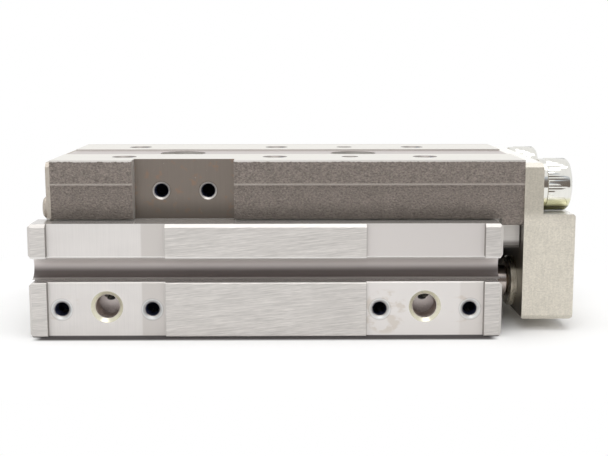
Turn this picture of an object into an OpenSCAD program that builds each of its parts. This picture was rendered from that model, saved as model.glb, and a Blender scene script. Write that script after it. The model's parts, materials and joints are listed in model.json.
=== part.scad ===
// Compact air slide table: two parallel air cylinders in one body drive a table that
// runs on a crossed-roller guide. All lengths are millimetres. X is the direction of
// travel, the end plate is at +X, Z is up, and the origin is on the bottom face of the
// body, midway between its two mounting holes. "Left" is +Y and "right" is -Y, as seen
// by someone who stands on the table and looks along the travel.

/* [Travel] */
// Travel of the table, from retracted to extended
stroke = 40; // [20:1:42]

/* [Body] */
// Length of the body along the travel
body_l = 86; // [84:1:100]
// Width of the body
body_w = 50; // [48:1:56]
// Height of the body's two side rails
body_h = 20.8; // [20.4:0.1:21.2]
// Width of the channel that the table's legs run in
channel_w = 36; // [34:0.5:38]
// Height of the channel's floor above the base
channel_floor = 14.9; // [14.6:0.1:15.2]
// Chamfer along the top edges of the rails
rail_chamfer = 0.6; // [0.2:0.1:0.8]
// Chamfer along the base edges and at the body's ends
edge_chamfer = 0.6; // [0.2:0.1:0.8]
// Small chamfer on the lips of the sensor grooves
lip_chamfer = 0.2; // [0.1:0.05:0.3]
// Length of each machined pad round a port
port_pad_l = 21.5; // [20:0.5:24]
// Depth of the machined pads below the brushed face
port_pad_depth = 0.9; // [0.4:0.1:1.2]

/* [Sensor grooves] */
// Width of the groove's mouth, and the diameter of its round bottom
groove_d = 4.4; // [4:0.1:4.6]
// Depth of the groove below the side face
groove_depth = 5.4; // [4.4:0.1:5.6]
// Height of the groove's middle above the base
groove_z = 12.3; // [12:0.1:12.6]

/* [Cylinders] */
// Diameter of each cylinder bore
bore_d = 12; // [10:0.5:12]
// Distance between the two bores
bore_pitch = 22; // [21:0.5:23]
// Height of the bores above the base
bore_z = 7.8; // [7.4:0.1:7.9]
// Length of each piston
piston_l = 11; // [9:0.5:12]
// Diameter of each piston rod
rod_d = 6; // [5:0.5:6]
// Thickness of the rubber bumpers
bumper_t = 1.4; // [1:0.1:2]
// Length of the head caps, without their noses
head_cap_l = 5; // [4:0.5:6]
// Length of the rod covers, without their noses
rod_cover_l = 10; // [8.5:0.5:10]
// Diameter of the caps' noses
nose_d = 8.8; // [8:0.2:9]
// Distance from the body's end to a retaining ring
ring_inset = 1.2; // [1:0.1:1.6]
// Thickness of the retaining rings
ring_t = 0.85; // [0.6:0.05:1]
// Depth of the retaining ring's groove in the bore wall
ring_bite = 0.45; // [0.3:0.05:0.5]
// Thickness of the O-rings' cord
o_ring_d = 1.1; // [0.9:0.1:1.3]

/* [Air ports] */
// Distance of each port from the body's end
port_inset = 14; // [13:0.5:15]
// Height of the ports above the base
port_z = 5.5; // [5:0.1:5.7]
// Diameter of the port's thread core
port_d = 4.4; // [4.2:0.1:4.6]
// Depth of the port below its pad
port_depth = 5; // [4.5:0.1:5.5]
// Diameter of the countersink at the port's mouth
port_mouth_d = 5.8; // [5.2:0.1:6.2]
// Diameter of the drilled air passage
passage_d = 2; // [1.4:0.1:2.2]
// Height of the air passage above the base
passage_z = 7.1; // [6.8:0.1:7.4]
// Offset of the air passage from the port, away from the body's middle
passage_shift = 0.4; // [0:0.1:0.6]
// Length of the plugs in the ports that aren't used
plug_l = 4; // [3:0.5:4.4]
// Width across the flats of the plug's hexagon socket
plug_hex = 2; // [1.5:0.5:2.5]

/* [Stop holes] */
// Distance between the two stop holes on each side of a port
stop_pitch = 16.5; // [15:0.5:18]
// Height of the stop holes above the base
stop_z = 5; // [4.5:0.1:5.3]
// Diameter of the stop holes' thread core
stop_d = 2.5; // [2:0.1:2.8]
// Depth of the stop holes in the body
stop_depth = 6; // [5:0.5:6.5]
// Width of the countersink round each small threaded hole
small_countersink = 0.5; // [0.2:0.1:0.6]

/* [Base mounting] */
// Distance between the two mounting holes
base_pitch = 34; // [32:1:36]
// Diameter of the mounting holes
base_d = 5.2; // [5:0.1:5.6]
// Diameter of the access holes for the bolt heads
access_d = 9; // [8.8:0.1:9.2]
// Distance between the dowel hole and the dowel slot
base_dowel_pitch = 56; // [52:1:58]
// Diameter of the base dowels
base_dowel_d = 4; // [3:0.5:4]
// Depth of the dowel holes
base_dowel_depth = 3.5; // [3:0.5:4]
// Extra length of the dowel slot
base_slot_extra = 1; // [0.5:0.5:2]

/* [Guide] */
// Width of the guide block
guide_w = 16; // [15:0.5:16]
// Height of the guide block
guide_h = 11.2; // [10.8:0.1:11.4]
// Height of the roller tracks above the base
track_z = 20.7; // [20.3:0.1:21]
// Diameter and length of the rollers
roller_d = 3; // [2.5:0.1:3]
// Distance between neighbouring rollers
roller_pitch = 4; // [4:0.1:5]
// Gap between the guide block and the table's legs
rail_gap = 1; // [0.9:0.1:1.2]
// Thickness of the roller cages
cage_t = 0.6; // [0.4:0.1:0.6]
// Bar of the cage above and below its windows
cage_bar = 0.55; // [0.4:0.05:0.7]
// Room left at each end of a cage's travel
cage_end_gap = 0.7; // [0.4:0.1:1]
// Thickness of the end stops on the guide block
end_stop_t = 1; // [0.6:0.1:1.2]
// Distance from the guide block's ends to its outer screws
guide_screw_margin = 8; // [7.5:0.5:9]
// Diameter of the guide block's screws
guide_screw_d = 4; // [3:0.5:4]
// Length of the guide block's screws under the head
guide_screw_l = 12; // [11:0.5:12.5]
// Diameter of the end stops' screws
stop_screw_d = 2; // [1.6:0.2:2.2]
// Length of the end stops' screws under the head
stop_screw_l = 4; // [3:0.5:4]

/* [Table] */
// Height of the table's top above the base
table_top = 31.9; // [31.5:0.1:32.5]
// Length by which the table is longer than the body
table_extra = 1; // [0.4:0.2:2]
// Width of the table
table_w = 41; // [40.5:0.5:45]
// Gap between the body's end and the end plate when retracted
front_gap = 4.5; // [4:0.1:6]
// Gap under the table's flanks
flank_gap = 0.3; // [0.2:0.1:0.5]
// Gap beside the table's legs in the channel
leg_side_gap = 0.5; // [0.3:0.1:0.8]
// Gap between the guide block and the table's roof
roof_gap = 0.4; // [0.3:0.1:0.6]
// Depth of the forging's parting line below the table's top
parting_drop = 4.5; // [4:0.1:5]
// Height of the bulge at the parting line
parting_bulge = 0.1; // [0.1:0.05:0.3]
// Step in of the flank under the parting line
flank_step = 0.2; // [0.1:0.1:1.8]
// Extra step in of the flank at its foot, from the forging's draft
flank_draft = 0.2; // [0.2:0.1:0.8]
// Depth by which the table's front end reaches below its flanks, past the body's end
front_foot_drop = 1.2; // [0.6:0.1:1.6]
// Gap between this front end and the body's end when retracted
front_foot_gap = 0.5; // [0.3:0.1:1]
// Set-back of the legs' ground ends behind the end plate
leg_setback = 0.2; // [0.2:0.1:0.8]
// Width of the relief along the table's top
relief_w = 12; // [11:0.5:13]
// Depth of the relief
relief_depth = 0.3; // [0.1:0.1:0.5]

/* [Table holes] */
// Position of the middle pair of threaded holes
table_bolt_x = 1.5; // [1:0.5:3]
// Distance between the threaded holes along the travel
table_bolt_pitch = 28.5; // [27:0.5:29]
// Distance between the two rows of threaded holes
table_row_pitch = 24; // [23:0.5:25]
// Diameter of the thread core in the table's top
table_bolt_d = 3.3; // [3:0.1:3.4]
// Depth of the threaded holes in the table's top
table_bolt_depth = 6; // [5:0.5:6.5]
// Width of the shallow countersink round these threaded holes
table_countersink = 0.7; // [0.3:0.1:0.9]
// Depth of this countersink
table_cone_depth = 0.5; // [0.2:0.1:0.5]
// Diameter of the dowel holes in the table's top
table_dowel_d = 3; // [2.5:0.5:3]
// Depth of the dowel holes in the table's top
table_dowel_depth = 4; // [3:0.5:5]
// Width of the countersink round the dowel holes
dowel_countersink = 0.1; // [0.05:0.05:0.3]
// Position of the middle of the machined side pad
side_pad_x = -15.2; // [-16:0.1:-14]
// Length of the machined side pad
side_pad_l = 18.6; // [17:0.2:20]
// Depth of the side pad below the table's side
side_pad_depth = 3.5; // [3.3:0.1:5.5]
// Distance between the two threaded holes in the side pad
side_hole_pitch = 8.7; // [8:0.1:9.5]
// Depth of the side pad's holes below the table's top
side_hole_drop = 5.9; // [5.4:0.1:6.4]
// Depth of the side pad's holes
side_hole_depth = 5; // [4:0.5:5.5]

/* [End plate] */
// Thickness of the plate where it is screwed to the table
plate_t = 3.5; // [3:0.1:4.5]
// Thickness of the plate's foot
foot_t = 9.5; // [9:0.1:11]
// Drop of the plate's top edge below the table's top
plate_drop = 0.5; // [0.4:0.1:1.2]
// Height of the plate's lower edge above the base
plate_bottom = 2.1; // [1:0.1:2.6]
// Chamfer on the plate's edges
plate_chamfer = 0.35; // [0.1:0.05:0.5]
// Chamfer on the plate's four corners, seen along the travel
plate_corner = 0.8; // [0.3:0.1:1.2]
// Distance between the two screws that hold the plate
plate_screw_pitch = 29; // [28:0.5:30]
// Depth of the plate's screws below the table's top
plate_screw_drop = 5; // [4.9:0.1:5.4]
// Diameter of the plate's screws
plate_screw_d = 6; // [5:0.5:6]
// Length of the plate's screws under the head
plate_screw_l = 16; // [12:0.5:16]
// Diameter of the plate's screw heads
plate_head_d = 9.8; // [8.5:0.1:9.8]
// Height of the plate's screw heads
plate_head_h = 5.7; // [5:0.1:6]
// Gap between these heads and the step under them
plate_head_gap = 0.1; // [0.05:0.05:0.3]
// Distance across the plate between the front threaded holes
front_pitch_y = 35; // [34:0.5:36]
// Distance up the plate between the front threaded holes
front_pitch_z = 11; // [10:0.5:12]
// Diameter of the front holes' thread core
front_d = 3.3; // [3:0.1:3.5]
// Depth of the front holes
front_depth = 7; // [6:0.5:8]

/* [Rod ends] */
// Diameter of the floating bushing's flange
bushing_flange_d = 9.6; // [9:0.1:10]
// Thickness of the floating bushing's flange
bushing_flange_t = 1.4; // [1:0.1:1.8]
// Diameter of the floating bushing's sleeve
bushing_sleeve_d = 6.6; // [6:0.1:7]
// Depth of the counterbores in the front of the foot
rod_counterbore_depth = 4.5; // [4.2:0.1:5]
// Diameter of the counterbores in the front of the foot
rod_counterbore_d = 8; // [7.6:0.1:8.2]
// Diameter of the rod end screws
rod_screw_d = 3; // [2.5:0.5:3]
// Length of the rod end screws under the head
rod_screw_l = 14; // [12:1:16]
// Thickness of the washers under the rod end screws
washer_t = 0.6; // [0.4:0.1:0.8]

/* [End cover] */
// Thickness of the cover on the table's rear end
cover_t = 0.8; // [0.6:0.1:1.2]
// Margin of the cover inside the table's outline
cover_margin = 0.1; // [0.1:0.1:0.5]
// Distance between the cover's screws
cover_screw_pitch = 35; // [33:0.5:35]
// Gap between the cover's screw heads and the body under them
cover_screw_gap = 0.2; // [0.1:0.1:0.4]
// Diameter of the cover's screws
cover_screw_d = 2; // [1.6:0.2:2.2]
// Length of the cover's screws under the head
cover_screw_l = 6; // [4:0.5:8]
// Diameter of the cover's screw heads
cover_head_d = 4; // [3.6:0.1:4]
// Height of the cover's screw heads
cover_head_h = 0.9; // [0.7:0.1:1.1]

/* [Hidden] */
// Radial clearances: parts that stay put, parts that slide, and the far ends of screws
fit = 0.02;
running = 0.04;
screw_end_gap = 0.5;
// Overrun of a cutting shape past the face that it cuts
over = 1;
// Length of a drill's point as a share of its diameter
point_ratio = 0.3;
$fn = 64;

body_colour = "#d3cfcc";
table_colour = "#7d756e";
plate_colour = "#c6c0b1";
steel_colour = "#b4b4b0";
bright_colour = "#d8dade";
rubber_colour = "#2b2b2d";
brass_colour = "#b79a55";
magnet_colour = "#4c4d52";
cage_colour = "#c8a24a";

half_l = body_l / 2;
port_x = half_l - port_inset;
table_front = half_l + front_gap;
table_l = body_l + table_extra;
table_rear = table_front - table_l;

// Pistons rest against the rear bumpers; bumper_gap is the last bit of room
bumper_gap = 0.2;
piston_rear = -(stroke + piston_l) / 2;
piston_front = piston_rear + piston_l;
cap_outer = half_l - ring_inset - ring_t - fit;
front_nose_end = piston_front + stroke + bumper_gap + bumper_t;
rear_nose_end = piston_rear - bumper_gap - bumper_t;
spigot_d = rod_d - 2.4;
seal_w = 2.2;
magnet_w = 2.8;
ring_land = 1.4;

// The roller's square track, seen along the travel, turned by 45 degrees
track_side = roller_d + 2 * fit;
track_y = guide_w / 2 + rail_gap / 2;
leg_inner = guide_w / 2 + rail_gap;
leg_outer = channel_w / 2 - leg_side_gap;
leg_bottom = channel_floor + flank_gap;
guide_top = channel_floor + guide_h;
roof_z = guide_top + roof_gap;
guide_half_l = half_l - end_stop_t;
guide_screw_step = guide_half_l - guide_screw_margin;

// At full stroke a cage lies between the table's rear end and the guide's front end
cage_l = guide_half_l - (table_rear + stroke) - 2 * cage_end_gap;
cage_mid = (guide_half_l + table_rear + stroke) / 2 - stroke / 2;
window_l = roller_d + 2 * running;
window_h = track_side * sqrt(2) + 2 * running;
cage_h = window_h + 2 * cage_bar;
roller_count = floor((cage_l - window_l - cage_bar) / roller_pitch) + 1;

plate_top = table_top - plate_drop;
plate_screw_z = table_top - plate_screw_drop;
step_z = plate_screw_z - plate_head_d / 2 - plate_head_gap;
front_z = (step_z + plate_bottom) / 2;
side_hole_z = table_top - side_hole_drop;
cover_screw_z = body_h + cover_screw_gap + cover_head_d / 2;
plate_front = table_front + foot_t;
rod_end = table_front - bushing_flange_t - fit;
sleeve_end = plate_front - rod_counterbore_depth + fit;

// ---- Shared shapes ----

// Half an outline, from one end to the other, and its mirror image on the other side
function both_sides(half) = concat(half,
    [for (i = [len(half) - 1 : -1 : 0]) [-half[i][0], half[i][1]]]);

// Extrudes a profile drawn in (Y, Z) along X, from x for length l
module along_x(x, l) {
    translate([x, 0, 0]) rotate([90, 0, 90]) linear_extrude(l) children();
}

// Extrudes a profile drawn in (X, Z) along Y, centred, for width w
module along_y(w) {
    translate([0, w / 2, 0]) rotate([90, 0, 0]) linear_extrude(w) children();
}

// A round bar along X, from x for length l
module bar_x(x, l, d) {
    translate([x, 0, 0]) rotate([0, 90, 0]) cylinder(h = l, d = d);
}

// A round ring along X, from x for length l
module ring_x(x, l, outer_d, inner_d) {
    difference() {
        bar_x(x, l, outer_d);
        bar_x(x - over, l + 2 * over, inner_d);
    }
}

// A shape turned about X: the profile's first number is the radius, its second is x
module turned_x() {
    rotate([0, 90, 0]) rotate_extrude() children();
}

// A rectangle in its own plane with chamfered corners
module chamfered_rect(w, h, c) {
    polygon([
        [-w / 2 + c, -h / 2], [w / 2 - c, -h / 2], [w / 2, -h / 2 + c], [w / 2, h / 2 - c],
        [w / 2 - c, h / 2], [-w / 2 + c, h / 2], [-w / 2, h / 2 - c], [-w / 2, -h / 2 + c]
    ]);
}

// A blind hole, drilled from its own origin along -Z
module plain_hole(d, depth) {
    translate([0, 0, -depth]) cylinder(h = depth + over, d = d);
}

// A flat-bottomed hole along -Z with a countersunk mouth, at 45 degrees unless the
// cone's own depth is given
module countersunk_hole(d, depth, countersink, cone_depth = 0) {
    cone_h = cone_depth > 0 ? cone_depth : countersink;
    plain_hole(d, depth);
    translate([0, 0, -cone_h]) cylinder(h = cone_h, d1 = d, d2 = d + 2 * countersink);
}

// A threaded hole with the cone that the point of the drill leaves at its bottom
module threaded_hole(d, depth, countersink, cone_depth = 0) {
    countersunk_hole(d, depth, countersink, cone_depth);
    translate([0, 0, -depth - point_ratio * d])
        cylinder(h = point_ratio * d, d1 = 0, d2 = d);
}

// A socket cap screw that points along -Z with the underside of its head at z = 0
module socket_screw(d, l, head_d, head_h, hex, hex_depth) {
    difference() {
        union() {
            cylinder(h = head_h, d = head_d);
            translate([0, 0, -l]) cylinder(h = l + fit, d = d - 2 * fit);
        }
        translate([0, 0, head_h - hex_depth])
            cylinder(h = hex_depth + over, d = hex / cos(30), $fn = 6);
    }
}

// A slotted pan-head screw that points along -Z with its head's underside at z = 0
module slotted_screw(d, l, head_d, head_h) {
    slot_w = head_d / 5;
    slot_depth = head_h / 2;
    edge = head_h / 3;
    difference() {
        union() {
            cylinder(h = head_h - edge, d = head_d);
            translate([0, 0, head_h - edge])
                cylinder(h = edge, d1 = head_d, d2 = head_d - 2 * edge);
            translate([0, 0, -l]) cylinder(h = l + fit, d = d - 2 * fit);
        }
        translate([-head_d, -slot_w / 2, head_h - slot_depth])
            cube([2 * head_d, slot_w, slot_depth + over]);
    }
}

// Moves its children onto a cylinder's axis; side is +1 for left and -1 for right
module on_bore(side) {
    translate([0, side * bore_pitch / 2, bore_z]) children();
}

module on_both_bores() {
    for (side = [-1, 1]) on_bore(side) children();
}

// An O-ring round X whose groove bottom is groove_r and whose middle is at x
module o_ring(x, groove_r) {
    translate([x, 0, 0]) turned_x()
        translate([groove_r + fit + o_ring_d / 2, 0]) circle(d = o_ring_d, $fn = 24);
}

// ---- Body ----

// The groove's cutter on the +Y side, with its lips chamfered at the given half width
module groove_cutter(half_w) {
    arc_y = body_w / 2 - groove_depth + groove_d / 2;
    low = groove_z - groove_d / 2;
    high = groove_z + groove_d / 2;
    translate([arc_y, groove_z]) circle(d = groove_d);
    polygon([
        [arc_y, low], [half_w - lip_chamfer, low], [half_w, low - lip_chamfer],
        [body_w / 2 + over, low - lip_chamfer], [body_w / 2 + over, high + lip_chamfer],
        [half_w, high + lip_chamfer], [half_w - lip_chamfer, high], [arc_y, high]
    ]);
}

module body_profile() {
    side = body_w / 2;
    channel = channel_w / 2;
    difference() {
        polygon([
            [-side + edge_chamfer / 2, 0], [side - edge_chamfer / 2, 0],
            [side, edge_chamfer / 2], [side, body_h - rail_chamfer],
            [side - rail_chamfer, body_h], [channel, body_h], [channel, channel_floor],
            [-channel, channel_floor], [-channel, body_h], [-side + rail_chamfer, body_h],
            [-side, body_h - rail_chamfer], [-side, edge_chamfer / 2]
        ]);
        for (mirrored = [0, 1]) mirror([mirrored, 0]) groove_cutter(side);
    }
}

// What the milling of a port pad takes off the +Y side
module pad_cutter_profile() {
    pad_y = body_w / 2 - port_pad_depth;
    low = groove_z - groove_d / 2;
    high = groove_z + groove_d / 2;
    polygon([
        [body_w / 2 + over, -over], [pad_y, -over], [pad_y, low - lip_chamfer],
        [pad_y - lip_chamfer, low], [pad_y - lip_chamfer, high],
        [pad_y, high + lip_chamfer], [pad_y, body_h + over],
        [body_w / 2 + over, body_h + over]
    ]);
}

// Chamfers the body's end at one height; up is +1 where the metal lies below
module end_edge_cutter(z, up) {
    c = edge_chamfer;
    along_y(body_w + 2 * over)
        polygon([[half_l - c, z], [half_l + over, z - up * (c + over)], [half_l + over, z]]);
}

module body_end_chamfers() {
    for (end = [0, 1]) mirror([end, 0, 0]) {
        end_edge_cutter(body_h, 1);
        end_edge_cutter(0, -1);
        for (side = [-1, 1])
            intersection() {
                union() {
                    end_edge_cutter(groove_z + groove_d / 2, -1);
                    end_edge_cutter(groove_z - groove_d / 2, 1);
                }
                translate([0, side * body_w / 2, 0])
                    cube([2 * body_l, 2 * groove_depth, 2 * body_h], center = true);
            }
    }
}

// One port with its air passage and the stop holes beside it, on the +X, -Y quarter
module port_holes() {
    pad_y = body_w / 2 - port_pad_depth;
    countersink = (port_mouth_d - port_d) / 2;
    for (side = [-1, 1]) {
        translate([port_x, side * pad_y, port_z]) rotate([-side * 90, 0, 0])
            countersunk_hole(port_d, port_depth, countersink);
    }
    translate([port_x + passage_shift, 0, passage_z]) rotate([90, 0, 0])
        cylinder(h = 2 * (pad_y - port_depth) + over, d = passage_d, center = true);
    for (step = [-1, 1])
        translate([port_x + step * stop_pitch / 2, -pad_y, stop_z]) rotate([90, 0, 0])
            threaded_hole(stop_d, stop_depth, small_countersink);
}

module base_holes() {
    for (end = [-1, 1])
        translate([end * base_pitch / 2, 0, -over])
            cylinder(h = channel_floor + 2 * over, d = base_d);
    translate([-base_dowel_pitch / 2, 0, -over])
        cylinder(h = base_dowel_depth + over, d = base_dowel_d);
    for (end = [-1, 1])
        translate([base_dowel_pitch / 2 + end * base_slot_extra / 2, 0, -over])
            cylinder(h = base_dowel_depth + over, d = base_dowel_d);
    translate([base_dowel_pitch / 2, 0, (base_dowel_depth - over) / 2])
        cube([base_slot_extra, base_dowel_d, base_dowel_depth + over], center = true);
}

module on_guide_screws() {
    for (step = [-1, 0, 1]) translate([step * guide_screw_step, 0, 0]) children();
}

module body() {
    ring_groove_w = ring_t + 2 * fit;
    color(body_colour) difference() {
        intersection() {
            along_x(-half_l, body_l) body_profile();
            translate([0, 0, -over]) linear_extrude(body_h + 2 * over)
                chamfered_rect(body_l, body_w, edge_chamfer);
        }
        body_end_chamfers();
        for (end = [0, 1], side = [0, 1]) mirror([end, 0, 0]) mirror([0, side, 0])
            along_x(port_x - port_pad_l / 2, port_pad_l) pad_cutter_profile();
        on_both_bores() {
            bar_x(-half_l - over, body_l + 2 * over, bore_d);
            for (end = [0, 1]) mirror([end, 0, 0])
                bar_x(half_l - ring_inset - ring_groove_w + fit, ring_groove_w,
                    bore_d + 2 * ring_bite);
        }
        for (end = [0, 1]) mirror([end, 0, 0]) port_holes();
        base_holes();
        on_guide_screws()
            translate([0, 0, screw_floor]) cylinder(h = body_h, d = guide_screw_d + 2 * fit);
    }
}

// ---- Cylinder parts that stay in the body ----

// The retaining rings are open at the bottom, between their two lugs
module retaining_rings() {
    ring_w = 1.5;
    opening = 3;
    color(steel_colour) for (end = [0, 1]) mirror([end, 0, 0]) on_both_bores()
        difference() {
            ring_x(half_l - ring_inset - ring_t, ring_t, bore_d + 2 * ring_bite - 2 * fit,
                bore_d - 2 * ring_w);
            translate([half_l - ring_inset - ring_t - over, -opening / 2, -bore_d])
                cube([ring_t + 2 * over, opening, bore_d]);
        }
}

// A closed plug with an O-ring groove and a narrower nose that carries the bumper
module head_cap(side) {
    r = bore_d / 2 - fit;
    o_r = r - o_ring_d + fit;
    o_w = o_ring_d + 0.3;
    inner = -cap_outer + head_cap_l;
    land = (head_cap_l - o_w) / 2;
    color(body_colour) on_bore(side) turned_x() polygon([
        [0, -cap_outer], [r, -cap_outer], [r, -cap_outer + land], [o_r, -cap_outer + land],
        [o_r, inner - land], [r, inner - land], [r, inner], [nose_d / 2, inner],
        [nose_d / 2, rear_nose_end], [0, rear_nose_end]
    ]);
}

module left_head_cap() { head_cap(1); }
module right_head_cap() { head_cap(-1); }

module head_cap_o_rings() {
    color(rubber_colour) on_both_bores()
        o_ring(-cap_outer + head_cap_l / 2, bore_d / 2 - o_ring_d - fit);
}

module rear_bumpers() {
    color(rubber_colour) on_both_bores() bar_x(rear_nose_end, bumper_t, nose_d - 1);
}

// A bearing plug for the rod, with an O-ring outside and a rod seal inside its mouth
module rod_cover(side) {
    r = bore_d / 2 - fit;
    o_r = r - o_ring_d + fit;
    o_w = o_ring_d + 0.3;
    inner = cap_outer - rod_cover_l;
    o_x = inner + rod_cover_l / 3;
    rod_r = rod_d / 2 + running;
    seal_r = rod_r + o_ring_d;
    color(body_colour) on_bore(side) turned_x() polygon([
        [rod_r, front_nose_end], [nose_d / 2, front_nose_end], [nose_d / 2, inner],
        [r, inner], [r, o_x - o_w / 2], [o_r, o_x - o_w / 2], [o_r, o_x + o_w / 2],
        [r, o_x + o_w / 2], [r, cap_outer], [seal_r, cap_outer],
        [seal_r, cap_outer - seal_w], [rod_r, cap_outer - seal_w]
    ]);
}

module left_rod_cover() { rod_cover(1); }
module right_rod_cover() { rod_cover(-1); }

module rod_cover_o_rings() {
    color(rubber_colour) on_both_bores()
        o_ring(cap_outer - rod_cover_l * 2 / 3, bore_d / 2 - o_ring_d - fit);
}

module rod_seals() {
    color(rubber_colour) on_both_bores()
        ring_x(cap_outer - seal_w + fit, seal_w - 2 * fit,
            rod_d + 2 * running + 2 * o_ring_d - 2 * fit, rod_d + 2 * running);
}

module front_bumpers() {
    color(rubber_colour) on_both_bores()
        ring_x(front_nose_end - bumper_t, bumper_t, nose_d - 1, rod_d + 4 * running);
}

// Socket plugs close the ports on the left side, which aren't used
module port_plugs() {
    pad_y = body_w / 2 - port_pad_depth;
    hex_depth = plug_l / 2;
    color(steel_colour) for (end = [-1, 1])
        translate([end * port_x, pad_y - port_depth, port_z]) rotate([-90, 0, 0])
            difference() {
                cylinder(h = plug_l, d = port_d - 2 * fit);
                translate([0, 0, plug_l - hex_depth])
                    cylinder(h = hex_depth + over, d = plug_hex / cos(30), $fn = 6);
            }
}

// ---- Guide ----

guide_head_h = guide_screw_d;
guide_head_d = 1.75 * guide_screw_d;
guide_seat = guide_top - guide_head_h - fit - 0.3;
screw_floor = guide_seat - guide_screw_l - screw_end_gap;

// The square track for the rollers on the +Y side, with a narrow relief at its corner
module track_cutter(x, l) {
    along_x(x, l) translate([track_y, track_z]) {
        rotate(45) square(track_side, center = true);
        square([track_side * sqrt(2) + 0.5, 0.5], center = true);
    }
}

module guide_block() {
    edge = 0.4;
    color(steel_colour) difference() {
        along_x(-guide_half_l, 2 * guide_half_l)
            translate([0, channel_floor + guide_h / 2]) chamfered_rect(guide_w, guide_h, edge);
        for (side = [0, 1]) mirror([0, side, 0])
            track_cutter(-half_l, body_l);
        for (end = [-1, 1])
            translate([end * base_pitch / 2, 0, 0])
                cylinder(h = guide_top + over, d = access_d);
        on_guide_screws() {
            cylinder(h = guide_top, d = guide_screw_d + 4 * fit);
            translate([0, 0, guide_seat])
                cylinder(h = guide_head_h + over, d = guide_head_d + 4 * fit);
        }
        for (end = [0, 1]) mirror([end, 0, 0])
            translate([guide_half_l, 0, track_z]) rotate([0, 90, 0])
                translate([0, 0, -stop_screw_l]) cylinder(h = 2 * stop_screw_l, d = stop_screw_d);
    }
}

module guide_block_screws() {
    hex = 0.75 * guide_screw_d;
    color(steel_colour) on_guide_screws() translate([0, 0, guide_seat])
        socket_screw(guide_screw_d, guide_screw_l, guide_head_d, guide_head_h, hex,
            guide_head_h / 2);
}

// Thin plates on the guide block's ends keep the cages from creeping out of the tracks
module guide_end_stops() {
    color(steel_colour) for (end = [0, 1]) mirror([end, 0, 0]) difference() {
        along_x(guide_half_l, end_stop_t)
            translate([0, track_z]) chamfered_rect(guide_w, window_h, 0.4);
        bar_end_stop_hole();
    }
}

module bar_end_stop_hole() {
    translate([0, 0, track_z]) bar_x(guide_half_l - over, end_stop_t + 2 * over,
        stop_screw_d + 4 * fit);
}

module end_stop_screws() {
    head_d = 1.9 * stop_screw_d;
    head_h = 0.5 * stop_screw_d;
    color(steel_colour) for (end = [0, 1]) mirror([end, 0, 0])
        translate([half_l, 0, track_z]) rotate([0, 90, 0])
            slotted_screw(stop_screw_d, stop_screw_l, head_d, head_h);
}

module roller_places() {
    for (i = [0 : roller_count - 1])
        translate([cage_mid + (i - (roller_count - 1) / 2) * roller_pitch, 0, track_z])
            rotate([i % 2 * 90, 0, 0]) children();
}

// A flat strip with a window for each roller
module roller_cage(side) {
    color(cage_colour) mirror([0, side > 0 ? 0 : 1, 0]) translate([0, track_y, 0])
        difference() {
            translate([cage_mid, 0, track_z]) cube([cage_l, cage_t, cage_h], center = true);
            roller_places() cube([window_l, window_h, window_h], center = true);
        }
}

// Neighbouring rollers lie crosswise, so that the tracks carry load from every side
module rollers(side) {
    length = roller_d - 2 * fit;
    color(bright_colour) mirror([0, side > 0 ? 0 : 1, 0]) translate([0, track_y, 0])
        roller_places() rotate([45, 0, 0]) cylinder(h = length, d = roller_d, center = true);
}

module left_roller_cage() { roller_cage(1); }
module right_roller_cage() { roller_cage(-1); }
module left_rollers() { rollers(1); }
module right_rollers() { rollers(-1); }

// ---- Table ----

// The forging's cross-section: a bulge runs along each flank at the parting line
module table_profile() {
    side = table_w / 2 - parting_bulge;
    foot = body_h + flank_gap;
    parting = table_top - parting_drop;
    slope = 0.6;
    leg_edge = 0.5;
    polygon(both_sides([
        [leg_inner, roof_z], [leg_inner, leg_bottom + leg_edge],
        [leg_inner + leg_edge, leg_bottom], [leg_outer - leg_edge, leg_bottom],
        [leg_outer, leg_bottom + leg_edge], [leg_outer, foot],
        [side - flank_step - flank_draft, foot], [side - flank_step, parting - slope],
        [side + parting_bulge, parting], [side, parting + slope], [side, table_top]
    ]));
}

module table_top_holes() {
    for (row = [-1, 1]) translate([table_bolt_x, row * table_row_pitch / 2, table_top]) {
        for (step = [-1, 0, 1])
            translate([step * table_bolt_pitch, 0, 0])
                threaded_hole(table_bolt_d, table_bolt_depth, table_countersink,
                    table_cone_depth);
        translate([table_bolt_pitch / 2, 0, 0])
            countersunk_hole(table_dowel_d, table_dowel_depth, dowel_countersink);
    }
    for (end = [-1, 1])
        translate([end * base_pitch / 2, 0, roof_z - over])
            cylinder(h = table_top, d = access_d);
}

// The pad that a stop block is screwed to, milled into the right flank
module side_pad_cutter() {
    pad_y = table_w / 2 - side_pad_depth;
    translate([side_pad_x - side_pad_l / 2, -pad_y - side_pad_depth - over, body_h])
        cube([side_pad_l, side_pad_depth + over, table_top]);
    for (step = [-1, 1])
        translate([side_pad_x + step * side_hole_pitch / 2, -pad_y, side_hole_z])
            rotate([90, 0, 0]) threaded_hole(stop_d, side_hole_depth, small_countersink);
}

// Under the flanks, where the table overhangs the body's front end, the metal goes lower
module table_front_foot() {
    foot = body_h + flank_gap;
    outer = table_w / 2 - parting_bulge - flank_step;
    x = half_l + front_foot_gap;
    inner = leg_outer - 1;
    for (side = [0, 1]) mirror([0, side, 0]) along_x(x, table_front - x) polygon([
        [inner, foot - front_foot_drop], [outer - flank_draft, foot - front_foot_drop],
        [outer, foot - front_foot_drop + flank_draft],
        [outer - flank_draft, foot + flank_draft], [inner, foot + flank_draft]
    ]);
}

// The legs' front ends are ground back, so that the end plate seats on the table alone
module leg_front_cutter() {
    translate([table_front - leg_setback, -leg_outer - over, leg_bottom - over])
        cube([leg_setback + over, 2 * (leg_outer + over),
            body_h + flank_gap - front_foot_drop - leg_bottom + over]);
}

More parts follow.
